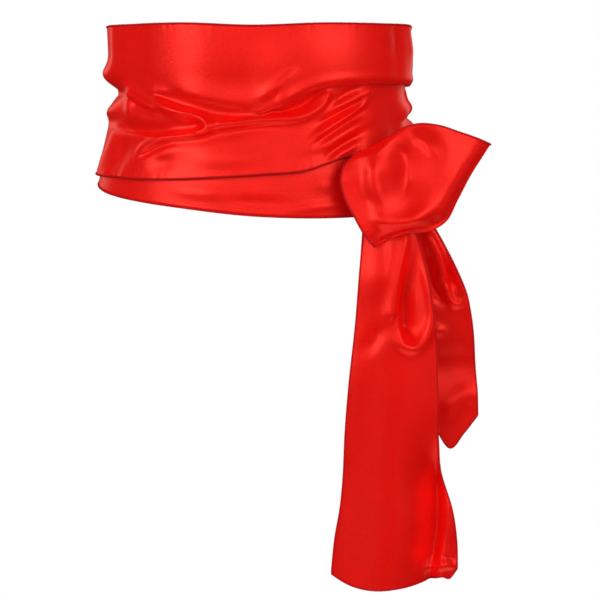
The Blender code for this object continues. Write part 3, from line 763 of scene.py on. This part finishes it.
def outer_column(deg):
    """One column, rim to hem: heights, lift over the gathers, even places."""
    rim, hem = smooth_value(OUTER_RIM, deg), smooth_value(OUTER_HEM, deg)
    lip, run, turn = smooth_curve(LAP, deg)
    run, turn = np.clip(run, LAP[0].run, None), np.clip(turn, 0, 180)
    lap_lift, lap_height = lap_path(lip, run, turn)
    upper = np.linspace(rim, lap_height[0], UPPER_ROWS + 1)[:-1]
    lower = np.linspace(lap_height[-1], hem, LOWER_ROWS + 1)[1:]
    heights = np.concatenate([upper, lap_height, lower])
    upper_lift = lap_lift[0] * smooth_step(np.arange(UPPER_ROWS), 0, UPPER_ROWS)
    roll = np.exp(-(((upper - lip) / LIP_ROLL_HEIGHT - 1) ** 2) * LIP_ROLL_TIGHTNESS)
    upper_lift = upper_lift + LIP_ROLL * roll * smooth_step(turn, LIP_ROLLS_FROM_DEG, 180)
    lift = np.concatenate([upper_lift, lap_lift, 0 * lower])
    behind = np.maximum(heights - lip, 0) * turn / 180
    returned = smooth_step(upper, lap_height.max(), rim)
    behind[:UPPER_ROWS] *= 1 - returned
    return heights, lift, heights - behind


# %% Second turn
PUCKER_SHIFT = 3


def outer_turn_points():
    columns = columns_round()
    heights, lifts, places = np.moveaxis([outer_column(deg) for deg in columns], 0, -1)
    degs = np.broadcast_to(columns, heights.shape)
    off = outer_stand_off(degs, places) + lifts
    along = degs * MM_PER_DEG
    off = off + pucker(along, heights - heights[0])
    off = off + pucker(along + PUCKER_SHIFT, heights - heights[-1])
    return on_waist(degs, heights, off)


outer_points = outer_turn_points()
turn_outer, outer_hem = hemmed_sheet(
    "second_turn", "turn_outer", outer_points, outer_points[[0, -1]], closed=True)

# %% [markdown]
# ## The knot
#
# The knot is the strip wrapped tightly round itself. Little of it shows behind the loop, so it is
# one closed form, an egg with the ridges of the wraps running slantwise round it, rather than a
# true knotted strip that would have to pass through itself.

# %% The knot's place and skin
KNOT_ALONG = 15.0
KNOT_OUT = 11.0
KNOT_UP = 10.5
KNOT_SEAT_GAP = 0.6
CAD_WALL = 1.0
SEAM_GAP = 0.3


def knot_frame():
    """The knot's middle, and its directions away from the waist and round it."""
    deg, height = np.array(KNOT_DEG), np.array(KNOT_HEIGHT)
    waist = on_waist(deg, height, np.array(0.0))
    out = on_waist(deg, height, np.array(1.0)) - waist
    around = np.array([-out[1], out[0], 0.0])
    off = KNOT_PAD + CAD_WALL / 2 + KNOT_SEAT_GAP + KNOT_OUT
    return waist + out * off, out, around


def knot_skin(azimuth_deg, elevation_deg, off):
    """Points that stand off the knot: azimuth is round it from its front, elevation is up."""
    centre, out, around = knot_frame()
    azimuth, elevation = np.radians(azimuth_deg), np.radians(elevation_deg)
    forward = np.cos(azimuth) * np.cos(elevation) * (KNOT_OUT + off)
    sideways = np.sin(azimuth) * np.cos(elevation) * (KNOT_ALONG + off)
    points = centre + forward[..., None] * out + sideways[..., None] * around
    points[..., 2] += np.sin(elevation) * (KNOT_UP + off)
    return points


print("knot's middle:", knot_frame()[0].round(1), "mm")

# %% The knot
KNOT_WRAPS = 4
KNOT_ROUND = 96
KNOT_RINGS = 48
KNOT_POLE_DEG = 88
WRAP_SLANT = 0.30
WRAP_FULLNESS = 0.6
WRAP_DEPTH = 1.9
PLEATS = 34
PLEAT_BEND = 2.0
PLEAT_RISE = 0.125
SKIN_INSET = 0.25
KNOT_CLOTH_ROUND = 0.09
KNOT_CLOTH_UP = 0.04


def wrapped_knot():
    azimuths = np.linspace(0, 360, KNOT_ROUND, endpoint=False)
    elevations = np.linspace(-KNOT_POLE_DEG, KNOT_POLE_DEG, KNOT_RINGS)
    azimuth, elevation = np.meshgrid(azimuths, elevations)
    slant = elevation / 90 + WRAP_SLANT * np.sin(np.radians(azimuth))
    wraps = np.abs(np.sin(KNOT_WRAPS * np.pi / 2 * slant)) ** WRAP_FULLNESS
    pleats = np.sin(slant * PLEATS + PLEAT_BEND * np.sin(np.radians(azimuth * 2)))
    off = -WRAP_DEPTH * (1 - wraps) + PLEAT_RISE * pleats - SKIN_INSET
    points = knot_skin(azimuth, elevation, off)
    rings, around = azimuth.shape
    faces = quad_faces(quad_corners(rings, around + 1), around)
    faces.append(list(range(around))[::-1])
    faces.append(list(range((rings - 1) * around, rings * around)))
    mesh = bpy.data.meshes.new("knot_wraps")
    mesh.from_pydata((points.reshape(-1, 3) * MM).tolist(), [], faces)
    layer = mesh.uv_layers.new(name="Cloth")
    for loop, place in zip(mesh.loops, layer.data):
        row, column = divmod(loop.vertex_index, around)
        place.uv = (column / around * KNOT_CLOTH_ROUND, row / rings * KNOT_CLOTH_UP)
    mesh.shade_smooth()
    mesh.materials.append(satin_material("knot_satin_face"))
    knot = put_in_scene("knot_wraps", mesh)
    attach(knot, "root")
    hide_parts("knot")
    print("knot,", len(faces), "faces")


wrapped_knot()

# %% [markdown]
# ## The loop
#
# The loop is a wide band of the strip that leaves the knot, turns over at its far end and comes
# back behind itself. Its outline is four curves: two hems, the fold at the far end and the narrow
# neck. A surface is stretched between them, opened into a front and a back, and creased. A short
# table says how far the front swells forward at each share of the way from the neck to the turn.

# %% The loop's outline
Place = namedtuple("Place", "share x y z")
LOOP_TOP_HEM = rows_of(
    Place, (0.00, 111, -82.3, -6), (0.12, 121, -86.5, 0), (0.25, 132, -84, 3), (0.41, 146, -80, 2),
    (0.65, 165, -73, -4), (0.89, 184, -66, -11), (1.00, 192, -62, -15))
LOOP_LOW_HEM = rows_of(
    Place, (0.00, 86, -86.5, -19), (0.10, 79, -92, -23), (0.22, 72, -94, -31), (0.32, 70, -96, -39),
    (0.46, 72, -97, -52), (0.68, 81, -99, -70), (0.85, 89, -100, -84), (1.00, 97, -100, -94))
LOOP_TURN = rows_of(
    Place, (0.00, 192, -62, -15), (0.25, 174, -70, -42), (0.38, 165, -75, -59),
    (0.54, 155, -82, -76), (0.62, 147, -86, -81), (0.84, 118, -95, -86), (1.00, 97, -100, -94))
LOOP_NECK = rows_of(
    Place, (0.0, 111, -82.3, -6), (0.5, 99, -84.9, -12.5), (1.0, 86, -86.5, -19))

# %% The loop's swell and creases
LOOP_BULGE = 8.0
LOOP_TURN_STARTS = 0.97
Swell = namedtuple("Swell", "along share")
LOOP_SWELL = rows_of(
    Swell, (0.00, 0.00), (0.15, 0.48), (0.35, 0.88), (0.60, 1.00), (0.80, 0.98), (0.91, 0.84),
    (0.965, 0.55), (1.00, 0.00))
LOOP_CREASES = rows_of(
    Stroke,
    ("left ridge", [(93, -24), (95, -37), (98, -50), (103, -66)], 7, 6, 2.4, 0.3, 0.4),
    ("by the left hem", [(88, -20), (85, -32), (84, -45), (89, -58), (96, -68)], 7, 12, -3.4),
    ("deep valley", [(113, -13), (121, -20), (124, -31), (122, -47), (116, -62)],
        20, 17, -11.0, 0.3, 0.4),
    ("valley line", [(113, -13), (121, -20), (124, -31), (122, -46), (117, -60)],
        3, 8, -1.8, 0.3, 0.4),
    ("top valley", [(126, -5), (137, -11), (144, -20), (148, -29)], 8, 5, -4.2, 0.25, 0.6),
    ("right band", [(186, -17), (179, -30), (170, -44), (163, -55), (158, -62)],
        7, 13, 2.6, 0.2, 0.6),
    ("swag", [(94, -66), (100, -72), (112, -74), (127, -72), (139, -65), (150, -56)],
        7, 4.5, 3.6, 0.3, 0.4),
    ("underside", [(97, -90), (108, -88), (121, -85), (133, -81), (145, -75), (152, -70)],
        4.5, 4, -3.6, 0.15, 0.2))


def loop_middle(across, along):
    """The surface between the loop's four edge curves, before it opens into two sheets."""
    top, low = smooth_curve(LOOP_TOP_HEM, along), smooth_curve(LOOP_LOW_HEM, along)
    neck, turn = smooth_curve(LOOP_NECK, across), smooth_curve(LOOP_TURN, across)
    ends = [np.array(row[1:], float) for row in (
        LOOP_TOP_HEM[0], LOOP_TOP_HEM[-1], LOOP_LOW_HEM[0], LOOP_LOW_HEM[-1])]
    p, q = across[..., None], along[..., None]
    at_top = (1 - q) * ends[0] + q * ends[1]
    at_low = (1 - q) * ends[2] + q * ends[3]
    points = (1 - p) * (top - at_top) + p * (low - at_low) + (1 - q) * neck + q * turn
    swell = smooth_value(LOOP_SWELL, np.minimum(along / LOOP_TURN_STARTS, 1))
    points[..., 1] -= LOOP_BULGE * np.sin(np.pi * across) * swell
    return points


print(len(LOOP_CREASES), "creases on the loop")

# %% The loop
LOOP_ACROSS = 88
LOOP_FRONT_ROWS = 72
LOOP_TURN_ROWS = 13
LOOP_BACK_ROWS = 44
LOOP_TURN_RADIUS = 2.4
LOOP_OPENING = 5.0
LOOP_OPENS_BY = 0.2
LOOP_BACK_END = 0.13
LOOP_BACK_INSET = 0.04
LOOP_INSET_BY = 0.4
LOOP_BACK_CREASES = 0.35
LOOP_CREASES_FROM, LOOP_CREASES_BY = 0.02, 0.16
LOOP_FAINTER_FROM, LOOP_FAINTER_BY = 0.03, 0.2
Row = namedtuple("Row", "along back inset creases")


def loop_rows():
    """Where each row runs: the front from the neck out, the turn, and the back inwards."""
    rows = []
    for along in np.linspace(0, LOOP_TURN_STARTS, LOOP_FRONT_ROWS)[:-1]:
        opening = LOOP_TURN_RADIUS * smooth_step(along, 0, LOOP_OPENS_BY)
        opening += LOOP_OPENING * float(smooth_value(LOOP_SWELL, along / LOOP_TURN_STARTS))
        rows.append(Row(along, -opening, 0.0, 1.0))
    for angle in np.linspace(0, math.pi, LOOP_TURN_ROWS):
        along = 1 - (1 - LOOP_TURN_STARTS) * (1 - math.sin(angle))
        rows.append(Row(along, -LOOP_TURN_RADIUS * math.cos(angle), 0.0, 1.0))
    for along in np.linspace(LOOP_TURN_STARTS, LOOP_BACK_END, LOOP_BACK_ROWS)[1:]:
        inset = LOOP_BACK_INSET * smooth_step(1 - along, 0, LOOP_INSET_BY)
        fuller = 1 - smooth_step(1 - along, LOOP_FAINTER_FROM, LOOP_FAINTER_BY)
        creases = LOOP_BACK_CREASES + (1 - LOOP_BACK_CREASES) * fuller
        rows.append(Row(along, LOOP_TURN_RADIUS, inset, creases))
    return rows


def loop_points():
    across = np.linspace(0, 1, LOOP_ACROSS)
    sheet = []
    for row in loop_rows():
        tucked = row.inset + (1 - 2 * row.inset) * across
        points = loop_middle(tucked, np.full(across.shape, row.along))
        relief = relief_of(LOOP_CREASES, points[:, 0], points[:, 2])
        relief *= row.creases * smooth_step(row.along, LOOP_CREASES_FROM, LOOP_CREASES_BY)
        points[:, 1] += row.back - relief
        sheet.append(points)
    return np.array(sheet)


bow_points = loop_points()
loop, loop_hem = hemmed_sheet(
    "half_bow", "loop", bow_points, [bow_points[:, 0], bow_points[:, -1]])

# %% [markdown]
# ## The tails
#
# Each tail leaves the knot's skin and falls between two edges. The front one is pinched at the
# top, so it opens into a pocket with a rounded end, then hangs broad, with a long valley and a
# curled corner at its lower right. The back one is shorter, with a slanting end.

# %% The front tail's edges and creases
Section = namedtuple("Section", "height left right left_y right_y")
TAIL_FRONT = rows_of(
    Section, (-26, 96, 114, -85, -80), (-45, 91, 118, -85, -82), (-70, 89, 126, -85.5, -82.5),
    (-95, 87.5, 134, -87, -84.5), (-120, 85.5, 140.5, -89.5, -87), (-155, 83, 146, -89.5, -88),
    (-210, 77.5, 149.5, -85, -87), (-255, 74.5, 151, -80, -85), (-285, 73.5, 154, -77, -84),
    (-315, 71, 163, -75, -84), (-340, 67, 167, -73, -84), (-385, 63, 167.5, -71, -84))
HemDrop = namedtuple("HemDrop", "across height")
TAIL_FRONT_HEM = rows_of(
    HemDrop, (0.00, -373), (0.16, -380), (0.50, -381), (0.75, -378), (0.89, -371), (0.94, -373),
    (1.00, -366))
TAIL_FRONT_BULGE = 20.0
Hold = namedtuple("Hold", "left_deg right_deg elevation_deg")
TAIL_FRONT_HOLD = Hold(-48, 38, -35)
TAIL_FRONT_CREASES = rows_of(
    Stroke,
    ("pocket rim", [(125, -84), (118, -112), (114, -135), (112.5, -152)], 2.2, 7, 3.6, 0.1, 0.08),
    ("pocket", [(130, -84), (125, -112), (121, -138), (121.5, -164)], 12, 2.6, -13.0, 0.85, 0.05),
    ("pocket end", [(110, -160), (118, -172.5), (130, -177), (140, -168), (144.5, -152),
        (142, -130), (137, -110), (131, -90)], 4.5, 5.0, 4.4, 0.25),
    ("left panel", [(103, -80), (102, -110), (99, -140)], 8, 13, 4.6, 0.35, 0.4),
    ("panel dip", [(104, -158), (97, -172), (88, -184)], 6, 7, -2.4, 0.3, 0.4),
    ("left hem swell", [(85, -150), (80, -200), (75, -260), (71, -330), (68, -392)],
        13, 13, 4.4, 0.3, 0.0),
    ("lower valley", [(148, -242), (150, -275), (151, -300), (151, -330), (147, -360), (142, -392)],
        5, 26, -18.0, 0.4, 0.0),
    ("flap roll", [(160, -290), (163, -320), (163, -345)], 4, 5, 2.4, 0.4, 0.4),
    ("turned corner", [(140, -372), (148, -365), (157, -361), (168, -362)],
        4.0, 3.4, 4.0, 0.3, 0.1),
    ("corner dimple", [(157, -355), (163, -357), (166, -364)], 2.6, 2.6, -2.6))
print(len(TAIL_FRONT_CREASES), "creases on the front tail")

# %% The front tail
TAIL_LEAVES_KNOT = 0.14


def tail_points(sections, hem, creases, bulge, hold, columns, rows):
    """A sheet that leaves the knot's skin where it is held, and hangs between its two edges."""
    across, along = np.meshgrid(np.linspace(0, 1, columns), np.linspace(0, 1, rows))
    top = sections[0].height
    heights = top + (smooth_value(hem, across) - top) * along
    left, right, left_y, right_y = np.moveaxis(smooth_curve(sections, heights), -1, 0)
    x = left + (right - left) * across
    y = left_y + (right_y - left_y) * across
    y = y - bulge * np.sin(np.pi * across) * smooth_step(along)
    y = y - relief_of(creases, x, heights)
    hanging = np.stack([x, y, heights], axis=-1)
    azimuth = hold.left_deg + (hold.right_deg - hold.left_deg) * across
    held = knot_skin(azimuth, hold.elevation_deg + 0 * azimuth, CAD_WALL / 2 + SEAM_GAP)
    left_knot = np.clip(along / TAIL_LEAVES_KNOT, 0, 1)
    free = (left_knot * (2 - left_knot))[..., None]
    return held + (hanging - held) * free


def tail_edge(points):
    """Down one side, along the end and up the other side, as one line."""
    return np.concatenate([points[:, 0], points[-1, 1:], points[::-1, -1][1:]])


front_points = tail_points(
    TAIL_FRONT, TAIL_FRONT_HEM, TAIL_FRONT_CREASES, TAIL_FRONT_BULGE, TAIL_FRONT_HOLD,
    columns=76, rows=190)
tail_front, front_hem = hemmed_sheet(
    "front_tail", "tail_front", front_points, [tail_edge(front_points)])

# %% The back tail
TAIL_BACK = rows_of(
    Section, (-30, 112, 120, -68, -63), (-46, 114, 127, -67, -63), (-70, 115, 140, -68, -65),
    (-100, 116, 157, -67, -69), (-120, 118, 167, -66, -68), (-137, 119, 174, -66, -66),
    (-155, 120, 178, -65, -65), (-205, 122, 183, -65, -63), (-275, 124, 187, -66, -62))
TAIL_BACK_HEM = rows_of(
    HemDrop, (0.00, -210), (0.40, -246), (0.62, -267), (0.80, -255), (1.00, -240))
TAIL_BACK_BULGE = 3.0
TAIL_BACK_HOLD = Hold(122, 70, -50)
TAIL_BACK_CREASES = rows_of(
    Stroke,
    ("first fold", [(139, -80), (149, -99), (154, -111), (156.5, -128)], 2.6, 6, 4.6, 0.2, 0.15),
    ("small hook", [(157, -126), (159, -138), (165, -145.5), (173, -142)], 2.6, 3.4, 3.4, 0.2),
    ("left valley", [(139, -96), (143, -116), (148, -134), (157, -145)], 4, 4.5, -4.5, 0.3, 0.2),
    ("hook valley", [(155, -104), (161, -122), (165, -134)], 3, 3, -3.4),
    ("right fold", [(158, -100), (167, -122), (174, -142), (179, -168)], 4, 4, 2.6, 0.3, 0.4),
    ("shelf", [(140, -171), (149, -167), (158, -168)], 3.5, 5, 3.0, 0.2, 0.4),
    ("under the shelf", [(140, -196), (158, -198), (182, -192)], 16, 18, -6.0),
    ("low swell", [(158, -240), (165, -228), (174, -222), (184, -222)], 8, 10, 4.0, 0.3, 0.1))
back_points = tail_points(
    TAIL_BACK, TAIL_BACK_HEM, TAIL_BACK_CREASES, TAIL_BACK_BULGE, TAIL_BACK_HOLD,
    columns=54, rows=130)
tail_back, back_hem = hemmed_sheet(
    "back_tail", "tail_back", back_points, [tail_edge(back_points)])

# %% [markdown]
# ## What each sheet was cut as
# Cloth keeps its area when it is wound or folded, and part of the strip is always tucked or
# gathered away. Each width is less than the strip's 0.16 m, since part of it is tucked or gathered
# away.


# %% [markdown]
# ## Light and floor
#
# Satin shows what it reflects. A strong soft light at the left front and two weaker ones, in front
# and at the right front, give the broad sheen, and two tall panels behind make the thin light
# strips at the sides. More reflections than these would turn the red milky. So the light that
# fills the shadows comes from four large lamps round the scarf that reflections leave out, and the
# room is almost black in reflections, though the camera sees it white. The floor is pale and far
# below, so that no shadow falls into view.

# %% Soft lights
Lamp = namedtuple("Lamp", "name place width height watts")
LAMPS = rows_of(
    Lamp,
    ("key", (-1.45, -1.5, 0.6), 1.0, 1.5, 14),
    ("front", (-0.1, -2.1, 0.6), 1.5, 1.0, 3.5),
    ("right front", (1.45, -1.48, 0.8), 1.0, 1.4, 8),
    ("left panel", (-1.3, 1.3, 0.6), 0.8, 1.5, 3),
    ("right panel", (1.1, 1.5, 0.5), 0.7, 1.6, 2.6))
LAMPS_AIM = (0.03, 0, -0.1)
FILL_SIDES_DEG = (-135, -45, 45, 135)
FILL_AWAY = 2
FILL_UP = 0.4
FILL_SIZE = 2.6
FILL_WATTS = 45


def soft_light(lamp):
    """A rectangle of light that is turned to face the scarf."""
    panel = bpy.data.lights.new(lamp.name, "AREA")
    panel.shape = "RECTANGLE"
    panel.size, panel.size_y = lamp.width, lamp.height
    panel.energy = lamp.watts
    light = put_in_scene(lamp.name, panel)
    light.location = lamp.place
    away = np.array(LAMPS_AIM, float) - np.array(lamp.place, float)
    flat = math.hypot(away[0], away[1])
    light.rotation_euler = (
        math.atan2(flat, -away[2]), 0, math.atan2(away[1], away[0]) - math.pi / 2)
    return light


for lamp in LAMPS:
    soft_light(lamp)
for side in FILL_SIDES_DEG:
    turn = math.radians(side)
    place = (FILL_AWAY * math.sin(turn), -FILL_AWAY * math.cos(turn), FILL_UP)
    fill = soft_light(Lamp(f"fill {side}", place, FILL_SIZE, FILL_SIZE, FILL_WATTS))
    fill.visible_glossy = False
print(len(bpy.data.lights), "soft lights")

# %% Floor
FLOOR_RADIUS = 1.3
FLOOR_DROP = 1.6
FLOOR_CORNERS = 64
FLOOR_GREY = (0.72, 0.72, 0.72, 1)
FLOOR_ROUGHNESS = 0.9
turns = np.linspace(0, 2 * np.pi, FLOOR_CORNERS, endpoint=False)
rim = np.stack([np.cos(turns) * FLOOR_RADIUS, np.sin(turns) * FLOOR_RADIUS, turns * 0 - FLOOR_DROP])
floor_mesh = bpy.data.meshes.new("floor")
floor_mesh.from_pydata(rim.T.tolist(), [], [list(range(FLOOR_CORNERS))])
floor = put_in_scene("floor", floor_mesh)
pale = Pad("pale_floor")
pale.give(Base_Color=FLOOR_GREY, Roughness=FLOOR_ROUGHNESS)
floor_mesh.materials.append(pale.material)
print("floor,", FLOOR_DROP, "m below the waist")

# %% Room
ROOM_LIGHT = 0.15
ROOM_IN_REFLECTIONS = 0.02
WHITE = (1, 1, 1, 1)
sky = bpy.data.worlds.new("studio")
bpy.context.scene.world = sky
sky.use_nodes = True
nodes, links = sky.node_tree.nodes, sky.node_tree.links
seen = nodes.new("ShaderNodeLightPath")
room = nodes["Background"]
room.inputs["Color"].default_value = WHITE
in_reflections = nodes.new("ShaderNodeMapRange")
in_reflections.inputs["To Min"].default_value = ROOM_LIGHT
in_reflections.inputs["To Max"].default_value = ROOM_IN_REFLECTIONS
links.new(seen.outputs["Is Glossy Ray"], in_reflections.inputs["Value"])
links.new(in_reflections.outputs["Result"], room.inputs["Strength"])
backdrop = nodes.new("ShaderNodeBackground")
backdrop.inputs["Color"].default_value = WHITE
either = nodes.new("ShaderNodeMixShader")
links.new(seen.outputs["Is Camera Ray"], either.inputs["Fac"])
links.new(room.outputs["Background"], either.inputs[1])
links.new(backdrop.outputs["Background"], either.inputs[2])
links.new(either.outputs["Shader"], nodes["World Output"].inputs["Surface"])
bpy.context.scene.view_settings.view_transform = "Standard"
print("room light", ROOM_LIGHT, "and", ROOM_IN_REFLECTIONS, "in reflections")
